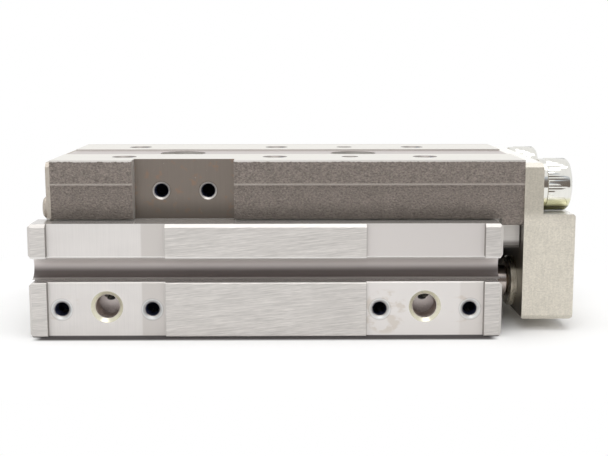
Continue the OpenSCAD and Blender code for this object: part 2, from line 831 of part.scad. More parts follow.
module table() {
    color(table_colour) difference() {
        union() {
            along_x(table_rear, table_l) table_profile();
            table_front_foot();
        }
        leg_front_cutter();
        along_x(table_rear - over, table_l + 2 * over)
            translate([-relief_w / 2, table_top - relief_depth])
                square([relief_w, relief_depth + over]);
        for (side = [0, 1]) mirror([0, side, 0])
            track_cutter(table_rear - over, table_l + 2 * over);
        table_top_holes();
        side_pad_cutter();
        for (side = [-1, 1]) {
            translate([table_front, side * plate_screw_pitch / 2, plate_screw_z])
                rotate([0, 90, 0])
                    plain_hole(plate_screw_d, plate_screw_l - plate_t + screw_end_gap);
            translate([table_rear, side * cover_screw_pitch / 2, cover_screw_z])
                rotate([0, -90, 0])
                    plain_hole(cover_screw_d, cover_screw_l - cover_t + screw_end_gap);
        }
    }
}

// ---- End plate ----

module plate_profile() {
    c = plate_chamfer;
    back = table_front;
    upper = back + plate_t;
    polygon([
        [back, plate_bottom + c], [back + c, plate_bottom], [plate_front - c, plate_bottom],
        [plate_front, plate_bottom + c], [plate_front, step_z - c], [plate_front - c, step_z],
        [upper, step_z], [upper, plate_top - c], [upper - c, plate_top], [back, plate_top]
    ]);
}

module end_plate() {
    color(plate_colour) difference() {
        intersection() {
            along_y(table_w) plate_profile();
            along_x(table_front - over, foot_t + 2 * over)
                translate([0, (plate_top + plate_bottom) / 2])
                    chamfered_rect(table_w, plate_top - plate_bottom, plate_corner);
        }
        for (side = [-1, 1])
            translate([0, side * plate_screw_pitch / 2, plate_screw_z])
                bar_x(table_front - over, plate_t + 2 * over, plate_screw_d + 0.4);
        on_both_bores() {
            bar_x(table_front - over, foot_t, bushing_sleeve_d + 4 * fit);
            bar_x(plate_front - rod_counterbore_depth, foot_t, rod_counterbore_d);
        }
        for (y = [-1, 1], z = [-1, 1])
            translate([plate_front, y * front_pitch_y / 2, front_z + z * front_pitch_z / 2])
                rotate([0, 90, 0]) threaded_hole(front_d, front_depth, small_countersink);
    }
}

module end_plate_screws() {
    hex = 5 / 6 * plate_screw_d;
    color(bright_colour) for (side = [-1, 1])
        translate([table_front + plate_t, side * plate_screw_pitch / 2, plate_screw_z])
            rotate([0, 90, 0])
                socket_screw(plate_screw_d, plate_screw_l, plate_head_d, plate_head_h, hex,
                    plate_head_h / 2);
}

// ---- End cover ----

// An arch-shaped plate that closes the tracks at the table's rear end
module end_cover() {
    side = table_w / 2 - parting_bulge;
    m = cover_margin;
    foot = body_h + flank_gap;
    top = table_top - relief_depth - m;
    arch = guide_w / 2 + rail_gap / 2;
    color(steel_colour) difference() {
        along_x(table_rear - cover_t, cover_t) polygon(both_sides([
            [arch, roof_z], [arch, leg_bottom + m], [leg_outer - m, leg_bottom + m],
            [leg_outer - m, foot + m], [side - flank_step - flank_draft - m, foot + m],
            [side - m, table_top - parting_drop], [side - m, top - cover_t],
            [side - m - cover_t, top]
        ]));
        for (y = [-1, 1])
            translate([0, y * cover_screw_pitch / 2, cover_screw_z])
                bar_x(table_rear - cover_t - over, cover_t + 2 * over,
                    cover_screw_d + 4 * fit);
    }
}

module end_cover_screws() {
    color(bright_colour) for (side = [-1, 1])
        translate([table_rear - cover_t, side * cover_screw_pitch / 2, cover_screw_z])
            rotate([0, -90, 0])
                slotted_screw(cover_screw_d, cover_screw_l, cover_head_d, cover_head_h);
}

// ---- Pistons and rods ----

// The piston's seal sits behind its magnet; both lie in grooves between lands
module piston(side) {
    r = bore_d / 2 - running;
    seal_r = bore_d / 2 - o_ring_d - 2 * running;
    seal_x = piston_rear + ring_land;
    magnet_r = bore_d / 2 - 1.8;
    magnet_x = piston_front - ring_land - magnet_w;
    hole = spigot_d / 2 + fit;
    color(brass_colour) on_bore(side) turned_x() polygon([
        [hole, piston_rear], [r, piston_rear], [r, seal_x], [seal_r, seal_x],
        [seal_r, seal_x + seal_w], [r, seal_x + seal_w], [r, magnet_x],
        [magnet_r, magnet_x], [magnet_r, magnet_x + magnet_w], [r, magnet_x + magnet_w],
        [r, piston_front], [hole, piston_front]
    ]);
}

module left_piston() { piston(1); }
module right_piston() { piston(-1); }

module piston_seals() {
    outer = bore_d - 2 * running;
    color(rubber_colour) on_both_bores()
        ring_x(piston_rear + ring_land + fit, seal_w - 2 * fit, outer,
            bore_d - 2 * o_ring_d - 4 * running + 2 * fit);
}

module piston_magnets() {
    color(magnet_colour) on_both_bores()
        ring_x(piston_front - ring_land - magnet_w + fit, magnet_w - 2 * fit,
            bore_d - 4 * running, bore_d - 3.6 + 2 * fit);
}

// A rod with a spigot through the piston and a threaded hole in its front end
module piston_rod(side) {
    edge = 0.3;
    thread_depth = rod_screw_l - (sleeve_end + washer_t - rod_end) + washer_t + screw_end_gap;
    color(bright_colour) on_bore(side) turned_x() polygon([
        [0, piston_rear], [spigot_d / 2, piston_rear], [spigot_d / 2, piston_front],
        [rod_d / 2, piston_front], [rod_d / 2, rod_end - edge], [rod_d / 2 - edge, rod_end],
        [rod_screw_d / 2, rod_end], [rod_screw_d / 2, rod_end - thread_depth],
        [0, rod_end - thread_depth]
    ]);
}

module left_piston_rod() { piston_rod(1); }
module right_piston_rod() { piston_rod(-1); }

// A flanged sleeve that lets the rod find its own line in the end plate
module floating_bushing(side) {
    hole = rod_screw_d / 2 + running;
    edge = 0.25;
    color(steel_colour) on_bore(side) turned_x() polygon([
        [hole, rod_end], [bushing_flange_d / 2 - edge, rod_end],
        [bushing_flange_d / 2, rod_end + edge], [bushing_flange_d / 2, table_front - fit],
        [bushing_sleeve_d / 2, table_front - fit], [bushing_sleeve_d / 2, sleeve_end],
        [hole, sleeve_end]
    ]);
}

module left_floating_bushing() { floating_bushing(1); }
module right_floating_bushing() { floating_bushing(-1); }

module rod_end_washers() {
    color(steel_colour) on_both_bores()
        ring_x(sleeve_end, washer_t, rod_counterbore_d - 0.6, rod_screw_d + 4 * running);
}

module rod_end_screws() {
    head_d = 5.5 / 3 * rod_screw_d;
    hex = 2.5 / 3 * rod_screw_d;
    color(steel_colour) on_both_bores() translate([sleeve_end + washer_t, 0, 0])
        rotate([0, 90, 0])
            socket_screw(rod_screw_d, rod_screw_l, head_d, rod_screw_d, hex,
                rod_screw_d / 2);
}

body();
guide_block();
guide_block_screws();
guide_end_stops();
end_stop_screws();
left_head_cap();
right_head_cap();
head_cap_o_rings();
rear_bumpers();
left_rod_cover();
right_rod_cover();
rod_cover_o_rings();
rod_seals();
front_bumpers();
retaining_rings();
port_plugs();
table();
end_plate();
end_plate_screws();
end_cover();
end_cover_screws();
left_piston();
right_piston();
left_piston_rod();
right_piston_rod();
piston_seals();
piston_magnets();
left_floating_bushing();
right_floating_bushing();
rod_end_washers();
rod_end_screws();
left_roller_cage();
right_roller_cage();
left_rollers();
right_rollers();
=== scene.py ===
# %% [markdown]
# # A pneumatic slide table in its real finishes
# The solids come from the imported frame: an aluminium body with two air cylinders, and a
# forged steel table that runs on it. This lesson lights them as on a workbench, gives
# each piece the finish of its trade, and adds the few shapes that are finer than the
# frame, such as knurls and threads.

# %% Load the frame
import json
import math
import bmesh
import bpy
from mathutils import Matrix, Vector


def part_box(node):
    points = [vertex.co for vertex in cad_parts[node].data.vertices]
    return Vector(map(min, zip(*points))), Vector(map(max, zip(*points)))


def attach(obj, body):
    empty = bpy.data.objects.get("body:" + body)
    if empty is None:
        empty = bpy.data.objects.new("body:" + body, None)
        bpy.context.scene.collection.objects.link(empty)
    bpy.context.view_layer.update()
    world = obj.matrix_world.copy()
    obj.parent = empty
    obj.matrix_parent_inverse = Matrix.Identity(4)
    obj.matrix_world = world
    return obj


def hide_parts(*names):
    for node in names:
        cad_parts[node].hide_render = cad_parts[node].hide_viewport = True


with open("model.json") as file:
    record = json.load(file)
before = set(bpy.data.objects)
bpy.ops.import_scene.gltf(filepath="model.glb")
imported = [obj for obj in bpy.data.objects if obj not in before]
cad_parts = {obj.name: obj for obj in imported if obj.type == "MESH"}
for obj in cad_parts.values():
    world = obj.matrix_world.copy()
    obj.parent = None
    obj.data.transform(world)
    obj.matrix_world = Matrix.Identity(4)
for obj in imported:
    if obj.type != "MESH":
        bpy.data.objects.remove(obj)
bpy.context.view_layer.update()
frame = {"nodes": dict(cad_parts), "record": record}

nodes = frame["nodes"]
mm = 0.001

# %% [markdown]
# ## Where the camera stands
# A small machine part looks calm through a long lens from a little above. The camera
# stands to the right of the body, square to it, so that the grooves run level and the
# top shows as a narrow band. A wide lens close by would splay the end plate instead.

# %% Camera
focal_length, sensor_width = 66.88, 36
look_down, look_aside = 8.438, -0.64          # degrees
camera_place = (0.00464, -0.22605, 0.04995)
camera_data = bpy.data.cameras.new("camera")
camera_data.sensor_width = sensor_width
camera_data.lens = focal_length
camera_data.clip_start = 0.01
camera = bpy.data.objects.new("camera", camera_data)
camera.location = camera_place
camera.rotation_euler = (math.radians(90 - look_down), 0, math.radians(look_aside))
bpy.context.scene.collection.objects.link(camera)
bpy.context.scene.camera = camera
print("camera distance from the middle in mm:", round(-camera.location.y / mm))

# %% [markdown]
# ## Colours as a painter writes them
# A shader works with linear light, but colours are easier to judge as they look on a
# screen, from 0 to 255. One small function turns the second into the first.

# %% Screen tones to shader colours
def tone(red, green, blue):
    """A colour as it looks on a screen, made linear for a shader."""
    parts = [value / 255 for value in (red, green, blue)]
    linear = [p / 12.92 if p < 0.04045 else ((p + 0.055) / 1.055) ** 2.4 for p in parts]
    return (*linear, 1.0)


print("a mid grey of 128 is", round(tone(128, 128, 128)[0], 3), "in linear light")

# %% [markdown]
# ## Nodes in a few words
# A finish is a tree of nodes, and each node does one small sum for each point of the
# surface. The editor draws them as boxes and wires, and a script can say the same in a
# line each. These helpers add a node, fill in its sockets and give a point's place. That
# is the place on the piece itself, so a pattern stays put when the table moves.

# %% Nodes and places
class Nodes:
    """A new material's nodes, with short ways to add and link them."""

    def __init__(self, name):
        self.material = bpy.data.materials.new(name)
        self.material.use_nodes = True
        self.tree = self.material.node_tree

    def node(self, kind, values=None, **settings):
        """Adds one node and fills in its sockets and settings."""
        made = self.tree.nodes.new("ShaderNode" + kind)
        for key, value in settings.items():
            setattr(made, key, value)
        for key, value in (values or {}).items():
            self.feed(made.inputs[key], value)
        return made

    def feed(self, socket, value):
        """Links a socket to another node's output, or writes a plain value in it."""
        if isinstance(value, bpy.types.NodeSocket):
            self.tree.links.new(value, socket)
        else:
            socket.default_value = value

    def calc(self, operation, first, second=0.0):
        """One sum of two numbers."""
        return self.node("Math", {0: first, 1: second}, operation=operation).outputs[0]

    def place(self):
        """The place on the piece along X, Y and Z, in millimetres."""
        where = self.node("TexCoord").outputs["Object"]
        scaled = self.node("Mapping", {"Vector": where, "Scale": (1 / mm,) * 3})
        parts = self.node("SeparateXYZ", {0: scaled.outputs[0]})
        return parts.outputs[0], parts.outputs[1], parts.outputs[2]

    def facing(self):
        """How far the surface faces along X, Y and Z, from -1 to 1."""
        direction = self.node("NewGeometry").outputs["Normal"]
        parts = self.node("SeparateXYZ", {0: direction})
        return parts.outputs[0], parts.outputs[1], parts.outputs[2]


print("helpers are ready: node, feed, calc, place and facing")

# %% [markdown]
# ## Masks by place
# A real finish changes with the place: a cutter has been here, a thumb has worn that
# edge. A painter would mask these places off with tape. The nodes do the same with a
# number that is 1 inside the mask and 0 outside, worked out from the place. An image would
# need a file and an unwrapped surface, and it would blur from close by.

# %% Masks
class Masks(Nodes):
    """The sums that turn a place into a mask."""

    def both(self, *masks):
        """1 only where every mask is 1."""
        result = masks[0]
        for mask in masks[1:]:
            result = self.calc("MULTIPLY", result, mask)
        return result

    def either(self, *masks):
        """1 where any mask is 1."""
        result = masks[0]
        for mask in masks[1:]:
            result = self.calc("MAXIMUM", result, mask)
        return result

    def outside(self, mask):
        """1 where the mask is 0."""
        return self.calc("SUBTRACT", 1.0, mask)

    def rise(self, value, low, high):
        """Goes smoothly from 0 at low to 1 at high."""
        return self.node("MapRange", {"Value": value, "From Min": low, "From Max": high},
                         interpolation_type="SMOOTHSTEP").outputs[0]

    def band(self, value, low, high, soft=0.05):
        """1 between low and high."""
        return self.both(self.rise(value, low - soft, low + soft),
                         self.rise(value, high + soft, high - soft))

    def ring(self, across, up, centre, low, high, soft=0.05):
        """1 where the distance from a hole's centre is between low and high."""
        a = self.calc("SUBTRACT", across, centre[0])
        b = self.calc("SUBTRACT", up, centre[1])
        squares = self.calc("ADD", self.calc("MULTIPLY", a, a), self.calc("MULTIPLY", b, b))
        return self.band(self.calc("SQRT", squares), low, high, soft)

    def disc(self, across, up, centre, radius, soft=0.05):
        """1 inside a circle round a hole's centre."""
        return self.ring(across, up, centre, -1, radius, soft)


print("masks are ready: both, either, outside, rise, band, ring and disc")

# %% [markdown]
# ## A finish, layer by layer
# Every finish starts as one plain coat and then gets layers: a tone where a mask is 1,
# a grain that lightens and darkens it, and a relief that only bends the light. The class
# keeps the chain of nodes for these layers, so that each finish below reads like a list
# of workshop steps. A tree of nodes wired by hand would look the same, but nobody could
# read afterwards which step did what.

# %% The layers of a finish
class Finish(Masks):
    """A material whose colour, roughness and relief are built up in layers."""

    def __init__(self, name, colour, metal=0.0, rough=0.5):
        super().__init__(name)
        self.shader = self.tree.nodes["Principled BSDF"]
        self.shader.inputs["Base Color"].default_value = colour
        self.shader.inputs["Metallic"].default_value = metal
        self.shader.inputs["Roughness"].default_value = rough
        self.colour, self.rough, self.relief = colour, rough, None

    def grain(self, size, detail=2.0, tilt=0.0, rough=0.5, swirl=0.0):
        """Cloudy noise whose spots are size millimetres along X, Y and Z."""
        where = self.node("TexCoord").outputs["Object"]
        turned = self.node("Mapping", {
            "Vector": where, "Rotation": (0, math.radians(-tilt), 0),
            "Scale": tuple(side * mm for side in size)}, vector_type="TEXTURE")
        return self.node("TexNoise", {
            "Vector": turned.outputs[0], "Scale": 1.0, "Detail": detail,
            "Roughness": rough, "Distortion": swirl}).outputs[0]

    def paint(self, mask, colour, amount=1.0):
        """Lays a tone over the colour where the mask is 1, as thickly as the amount."""
        if amount < 1:
            mask = self.calc("MULTIPLY", mask, amount)
        self.colour = self.node("Mix", {0: mask, 6: self.colour, 7: colour},
                                data_type="RGBA").outputs[2]

    def shade(self, noise, strength, mask=1.0, spread=0.25):
        """Lightens and darkens the colour by the noise, up to strength."""
        factor = self.node("MapRange", {
            "Value": noise, "From Min": 0.5 - spread, "From Max": 0.5 + spread,
            "To Min": 1 - strength, "To Max": 1 + strength}).outputs[0]
        self.colour = self.node("Mix", {0: mask, 6: self.colour, 7: factor},
                                data_type="RGBA", blend_type="MULTIPLY").outputs[2]

    def polish(self, mask, rough):
        """Sets another roughness where the mask is 1."""
        self.rough = self.node("Mix", {0: mask, 2: self.rough, 3: rough},
                               data_type="FLOAT").outputs[0]

    def emboss(self, height, depth, strength=1.0):
        """Bends the light as if the height were cut depth millimetres deep."""
        values = {"Height": height, "Distance": depth * mm, "Strength": strength}
        if self.relief is not None:
            values["Normal"] = self.relief
        self.relief = self.node("Bump", values).outputs[0]

    def done(self):
        """Wires the last layers to the shader, and gives the material."""
        for socket, value in (("Base Color", self.colour), ("Roughness", self.rough),
                              ("Normal", self.relief)):
            if isinstance(value, bpy.types.NodeSocket):
                self.tree.links.new(value, self.shader.inputs[socket])
        print(f"{self.material.name}: {len(self.tree.nodes)} nodes")
        return self.material


print("layers are ready: grain, paint, shade, polish and emboss")

# %% [markdown]
# ## Dressing the frame's own pieces
# The frame's pieces already have the right shape, and each has one slot for a material.
# A finish goes in that slot, so the shape isn't touched. A copy of each piece could carry
# the finish as well, but then it would have to be kept the same as the first.

# %% Dressing a piece
def dress(material, *names):
    """Puts a finish on the frame's own pieces."""
    for name in names:
        nodes[name].material_slots[0].material = material
    print(material.name, "is on", ", ".join(names))


print("pieces to dress:", len(nodes))

# %% [markdown]
# ## The bench
# The part stands on a pale bench. Near the part the bench is matt paint that takes its
# soft shadow, and further away it fades to plain white, so that no horizon cuts the view.
# A white world alone would leave the part floating. A thin dark line beside the base, for the
# camera only, is a painted contact shadow: it sets the part down.

# %% Bench finish
half_length, half_width = 50, 25
fade_start, fade_end = 4, 40             # the bench turns to plain white between these
shadow_end, shadow_start = 3.1, 1.3        # how far the dark line reaches past the sides
shadow_x_end, shadow_x_start = 42.6, 40.6  # and along the body


def bench_finish():
    """Matt white paint that fades to plain white, with a painted contact shadow beside the
    base.
    """
    white = Finish("bench_white", tone(249, 249, 249), rough=0.9)
    x, y, _ = white.place()
    along, aside = white.calc("ABSOLUTE", x), white.calc("ABSOLUTE", y)
    past_ends = white.calc("MAXIMUM", white.calc("SUBTRACT", along, half_length), 0)
    past_sides = white.calc("MAXIMUM", white.calc("SUBTRACT", aside, half_width), 0)
    squares = white.calc("ADD", white.calc("MULTIPLY", past_ends, past_ends),
                         white.calc("MULTIPLY", past_sides, past_sides))
    far = white.rise(white.calc("SQRT", squares), fade_start, fade_end)
    seen = white.node("LightPath").outputs["Is Camera Ray"]
    # painted contact shadow: a dark line on the bench beside the base, for the camera only
    contact_shadow = white.both(white.rise(past_sides, shadow_end, shadow_start),
                       white.rise(along, shadow_x_end, shadow_x_start))
    white.paint(white.both(contact_shadow, seen), tone(66, 62, 62))
    glow = white.node("Emission", {"Color": (1, 1, 1, 1), "Strength": 1.0})
    mixed = white.node("MixShader", {0: white.both(far, seen)})
    white.tree.links.new(white.shader.outputs[0], mixed.inputs[1])
    white.tree.links.new(glow.outputs[0], mixed.inputs[2])
    out = white.tree.nodes["Material Output"]
    white.tree.links.new(mixed.outputs[0], out.inputs["Surface"])
    return white.done()

# %% [markdown]
# ### The bench top
# The bench is one flat face, six metres wide, because a low camera looks a long way over it.
# It isn't part of the object.

# %% Bench top
bench_half = 3.0
bench_shape = bmesh.new()
bmesh.ops.create_grid(bench_shape, x_segments=1, y_segments=1, size=bench_half)
bench_mesh = bpy.data.meshes.new("bench")
bench_shape.to_mesh(bench_mesh)
bench_shape.free()
bench = bpy.data.objects.new("bench", bench_mesh)
bench_mesh.materials.append(bench_finish())
bpy.context.scene.collection.objects.link(bench)
print("the bench reaches", max(v.co.x for v in bench_mesh.vertices), "m to each side")

# %% [markdown]
# ## The white room
# The room shines softly on everything, like the walls of a white tent. It could have one
# strength for all, but then a level that suits the metal would show as a grey backdrop.
# So the rays are asked what they are: those of the camera, of reflections and of glass
# meet plain white, and the rest bring the softer light.

# %% White room
room_light = 0.7
room = bpy.data.worlds.new("white_room")
room.use_nodes = True
room_nodes, room_links = room.node_tree.nodes, room.node_tree.links
room_nodes.clear()
rays = room_nodes.new("ShaderNodeLightPath")
shown = rays.outputs["Is Camera Ray"]
for ray in ("Is Glossy Ray", "Is Transmission Ray"):
    also = room_nodes.new("ShaderNodeMath")
    also.operation = "MAXIMUM"
    room_links.new(shown, also.inputs[0])
    room_links.new(rays.outputs[ray], also.inputs[1])
    shown = also.outputs[0]
room_mix = room_nodes.new("ShaderNodeMixShader")
room_links.new(shown, room_mix.inputs[0])
for socket, strength in ((1, room_light), (2, 1.0)):
    background = room_nodes.new("ShaderNodeBackground")
    background.inputs["Color"].default_value = (1, 1, 1, 1)
    background.inputs["Strength"].default_value = strength
    room_links.new(background.outputs[0], room_mix.inputs[socket])
room_links.new(room_mix.outputs[0], room_nodes.new("ShaderNodeOutputWorld").inputs[0])
bpy.context.scene.world = room
print("the room shines with", room_light, "and looks like 1.0")

# %% [markdown]
# ## Two soft lamps
# One wide lamp overhead makes the upward faces brighter than the upright ones, which is
# what tells a viewer that the metal is flat and square. A second one in front lifts the
# side. It is kept out of the reflections, because bright metal would show its square
# outline.

# %% Lamps
def lamp(name, place, aim, width, power, mirrored=True):
    """A square soft lamp that looks from place at aim, and shows in bright metal or not."""
    data = bpy.data.lights.new(name, "AREA")
    data.size = width
    data.energy = power
    made = bpy.data.objects.new(name, data)
    made.location = place
    made.rotation_euler = (Vector(aim) - Vector(place)).to_track_quat("-Z", "Y").to_euler()
    made.visible_glossy = mirrored
    bpy.context.scene.collection.objects.link(made)
    print(name, "at", place, "with", power, "W")


lamp("overhead_lamp", (0.02, -0.02, 0.5), (0, 0, 0), 0.4, 1.1)
lamp("front_lamp", (-0.1, -0.5, 0.4), (0, 0, 0.01), 0.4, 0.6, mirrored=False)
bpy.context.scene.view_settings.view_transform = "Standard"

# %% [markdown]
# ## A dark card for the reflections
# Bright metal in a white room looks like white paint. So a dark card leans in front of
# it, and nothing but the reflections sees it: chrome and plating then show a dark band
# between two bright ones. Darker metal would be another way, but it would look grey from
# every side, and a real plated head is only dark where something dark is mirrored.

# %% Dark card
card_left, card_right = 0.05, 0.5
card_foot, card_top = (-0.16, 0.001), (-0.5, 0.42)     # each along Y and Z
dark_below, pale_above = 60, 300                       # heights in mm
card_shape = bmesh.new()
card_corners = [card_shape.verts.new(corner) for corner in (
    (card_left, *card_foot), (card_right, *card_foot),
    (card_right, *card_top), (card_left, *card_top))]
card_shape.faces.new(card_corners)
card_mesh = bpy.data.meshes.new("dark_card")
card_shape.to_mesh(card_mesh)
card_shape.free()
card = bpy.data.objects.new("dark_card", card_mesh)
card_coat = Finish("card_dark_felt", tone(124, 116, 110), rough=1.0)
_, _, card_z = card_coat.place()
card_coat.paint(card_coat.rise(card_z, dark_below, pale_above), tone(206, 212, 220))
card_glow = card_coat.node("Emission", {"Color": card_coat.colour, "Strength": 1.0})
card_coat.tree.links.new(card_glow.outputs[0],
                         card_coat.tree.nodes["Material Output"].inputs["Surface"])
card_mesh.materials.append(card_coat.done())
for ray in ("camera", "diffuse", "transmission", "volume_scatter", "shadow"):
    setattr(card, "visible_" + ray, False)
bpy.context.scene.collection.objects.link(card)

# %% [markdown]
# ## The body: brushed anodised aluminium
# The body is an extrusion with a satin anodised skin, and fine brush lines run almost
# along it. Brush lines could be real scratches, but at a tenth of a millimetre a grain
# that is stretched one way does the same. This finish goes on for some cells, with masks
# by place, because the body is one piece of metal. The frame's own list of mounts says
# where its holes and grooves are.

# %% Brushed skin
mounts = {mount["name"]: mount for mount in frame["record"]["mounts"]}


def mount_place(name):
    """A mount's place in millimetres."""
    return [value / mm for value in mounts[name]["pos_m"]]


face_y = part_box("body")[1].y / mm
brush_tilt = 5.5
skin = Finish("body_satin_anodise", tone(203, 199, 195), metal=0.55, rough=0.42)
x, y, z = skin.place()
_, _, upward = skin.facing()
side, along = skin.calc("ABSOLUTE", y), skin.calc("ABSOLUTE", x)
outer = skin.rise(side, face_y - 0.3, face_y - 0.1)
brush = skin.grain((5, 0.3, 0.17), detail=4, tilt=brush_tilt)
fine_brush = skin.grain((1.8, 0.2, 0.1), detail=2, tilt=brush_tilt)
skin.shade(brush, 0.17, outer)
skin.shade(fine_brush, 0.13, outer)
skin.shade(skin.grain((9, 9, 4)), 0.03, outer)
print("brush lines on the faces", round(face_y, 2), "mm from the middle")

# %% [markdown]
# ### Milled pads
# Round each port a cutter has milled a flat pad, which is smoother and a little lighter
# than the brushed skin. Some strips of it were cut in a pass of their own and came out a
# shade darker or lighter. They could be steps in the metal, but they are far too shallow
# to feel, so they are tones with soft edges over the same upright cutter marks.

# %% Milled pads
port_x, _, port_z = mount_place("retract_port")
_, _, groove_z = mount_place("right_sensor_groove")
pad_y = -mount_place("front_stop_holes")[1]
pad_half = 10.75                              # half a pad's length along the body
pad_start, pad_end = port_x - pad_half, port_x + pad_half
rear_pass, front_pass = (-22.6, -18.4), (35.4, 40)    # strips with a pass of their own
pad = skin.both(skin.band(side, pad_y - 0.25, pad_y + 0.1, 0.02),
                skin.band(along, pad_start, pad_end))
skin.paint(pad, tone(216, 212, 209))
skin.shade(skin.grain((5, 5, 3)), 0.025, pad)
skin.shade(skin.grain((0.25, 1, 9), detail=2), 0.03, pad)
front_pad = skin.both(pad, skin.band(x, pad_start - 0.25, pad_end + 0.25, 0.3))
off_groove = skin.outside(skin.band(z, groove_z - 2.3, groove_z + 2.3))
under_groove = skin.rise(z, groove_z - 2.1, groove_z - 2.5)
skin.paint(skin.both(pad, skin.band(x, *rear_pass, 0.2), off_groove), tone(200, 195, 191))
skin.paint(skin.both(front_pad, skin.rise(z, groove_z + 0.7, groove_z + 2.7)),
           tone(211, 206, 203))
skin.paint(skin.both(front_pad, under_groove), tone(225, 221, 218))
skin.paint(skin.both(pad, skin.band(x, *front_pass, 0.25), under_groove),
           tone(216, 211, 207))
print("pads from", round(pad_start, 2), "to", round(pad_end, 2), "mm along each half")

# %% [markdown]
# ### Stains, and the painted shade where a pad ends
# Oil that creeps out of the screw holes dries to faint brown clouds, and the small step at
# each end of a pad is painted shade. Both stay weaker than the tones round them, because a
# stain that the eye finds first spoils the whole face. The clouds are cut out of one noise,
# so that their edges are ragged.

# %% Stains and painted shade at the pad ends
stop_step = mounts["front_stop_holes"]["dims"]["spacing_x_mm"] / 2
_, _, stop_z = mount_place("front_stop_holes")
stop_holes_x = (port_x - stop_step, port_x + stop_step)
near_pad = skin.both(pad, skin.rise(y, 0, -1))
cloud = skin.grain((2.2, 2.2, 1.6), detail=3)
skin.paint(skin.both(near_pad, skin.rise(cloud, 0.46, 0.6),
                     skin.disc(x, z, (stop_holes_x[0] + 1, stop_z - 0.5), 4.0, 0.4)),
           tone(196, 184, 168), 0.45)
skin.paint(skin.both(near_pad, skin.rise(cloud, 0.56, 0.7),
                     skin.ring(along, z, (stop_holes_x[1], stop_z), 1.2, 3.4, 0.8)),
           tone(190, 172, 152), 0.3)
# painted shade in the small step at each end of a pad
pad_end_shade = skin.either(skin.band(along, pad_start - 0.02, pad_start + 0.1, 0.04),
                     skin.band(along, pad_end - 0.1, pad_end + 0.02, 0.04))
skin.paint(skin.both(pad_end_shade, skin.rise(side, pad_y - 0.2, pad_y - 0.1)),
           tone(132, 127, 122), 0.8)
print("stop holes at", [round(place, 2) for place in stop_holes_x], "mm")

# %% [markdown]
# ### Ports
# A port's countersink keeps a yellowish tint where the anodising is thin, and its bore ends
# at the air passage, whose dark slit is painted shade that reaches a little onto the floor
# round it. The lamps alone would darken the bore a little, but the white room fills every
# hole with light, so its lower half gets a painted shade as well.

# %% Ports
port_r = mounts["retract_port"]["dims"]["r_mm"]
countersink_r = port_r + 0.7
port_floor, passage_z, passage_shade_r, passage_shade_half = 19.1, 7.1, 1.35, 0.75
countersink = skin.both(
    skin.ring(along, z, (port_x, port_z), port_r + 0.05, countersink_r + 0.05, 0.03),
    skin.rise(side, face_y - 2.4, face_y - 2.2))
skin.paint(countersink, tone(222, 218, 198))
skin.polish(countersink, 0.24)
in_side = skin.rise(side, pad_y - 0.05, pad_y - 0.5)
bore = skin.both(skin.disc(along, z, (port_x, port_z), port_r + 0.05, 0.03), in_side)
skin.paint(bore, tone(222, 213, 210))
# painted shade on the lower half of the bore
lower_bore_shade = skin.both(bore, skin.rise(z, port_z + 0.2, port_z - 1.6))
skin.paint(lower_bore_shade, tone(138, 126, 122), 0.7)
skin.shade(skin.grain((0.3, 0.3, 0.3), detail=3), 0.2, lower_bore_shade)
# painted shade on the air passage and on the port floor just round it
passage = skin.both(skin.disc(along, z, (port_x, passage_z), passage_shade_r, 0.1),
                    skin.band(along, port_x - passage_shade_half, port_x + passage_shade_half),
                    skin.rise(side, port_floor + 0.4, port_floor + 0.2))
skin.paint(passage, tone(30, 26, 28))
print("ports of radius", port_r, "with countersinks of", round(countersink_r, 2), "mm")

# %% [markdown]
# ### Stop holes
# The holes for a stop block are much deeper than wide, and hardly any light comes back out of
# them. So they are painted dark down to their floor. Round each mouth a pale ring with a dark
# rim is painted, which is too thin to model and too plain to leave out.

# %% Stop holes
stop_r, stop_floor = mounts["front_stop_holes"]["dims"]["hole_r_mm"], 16.9
holes = skin.either(*[skin.disc(along, z, (hole_x, stop_z), stop_r + 0.05, 0.03)
                      for hole_x in stop_holes_x])
deep = skin.rise(side, stop_floor - 0.1, stop_floor + 0.1)
skin.paint(skin.both(holes, in_side, deep), tone(52, 54, 66))
for hole_x in stop_holes_x:
    pale = skin.ring(along, z, (hole_x, stop_z), stop_r, stop_r + 0.65, 0.1)
    skin.paint(skin.both(near_pad, pale), tone(216, 222, 224), 0.45)
    rim = skin.ring(along, z, (hole_x, stop_z), stop_r + 0.7, stop_r + 0.85, 0.08)
    skin.paint(skin.both(near_pad, rim), tone(112, 116, 118), 0.25)
print("stop holes of radius", stop_r, "mm")

# %% [markdown]
# ### Sensor grooves
# A sensor groove has a round bottom behind its mouth. A painted highlight runs along its
# upper lip, its roof is painted light, and its bottom is painted shade above a pale sill.
# These are bands by height, since each of them runs the whole length of the extrusion.

# %% Sensor grooves
groove_half, groove_back = 2.22, 19.2         # half its height, and how far in it reaches
sill_back, sill_front = 21.5, 23
# painted highlight along the groove's upper lip
lip_highlight = skin.both(skin.band(z, groove_z + 2.15, groove_z + 2.5, 0.04),
                skin.rise(side, pad_y - 0.4, pad_y - 0.3))
skin.paint(lip_highlight, tone(255, 254, 252), 0.6)
in_groove = skin.both(skin.rise(side, groove_back, groove_back + 0.3),
                      skin.rise(side, pad_y - 0.04, pad_y - 0.3),
                      skin.band(z, groove_z - groove_half, groove_z + groove_half))
skin.paint(in_groove, tone(207, 200, 197))
# painted light on the groove's roof
roof_painted_light = skin.both(in_groove, skin.rise(z, groove_z + 0.6, groove_z + 1.8))
skin.paint(roof_painted_light, tone(252, 247, 244))
# painted shade in the groove's bottom
bottom_painted_shade = skin.both(in_groove, skin.rise(z, groove_z + 0.6, groove_z - 1.1))
skin.paint(bottom_painted_shade, tone(98, 91, 89))
sill = skin.both(in_groove, skin.rise(z, groove_z - 1.5, groove_z - 1.9),
                 skin.rise(side, sill_back, sill_front))
skin.paint(sill, tone(206, 199, 195))
print("grooves", round(groove_z, 2), "mm above the base,", 2 * groove_half, "mm high")
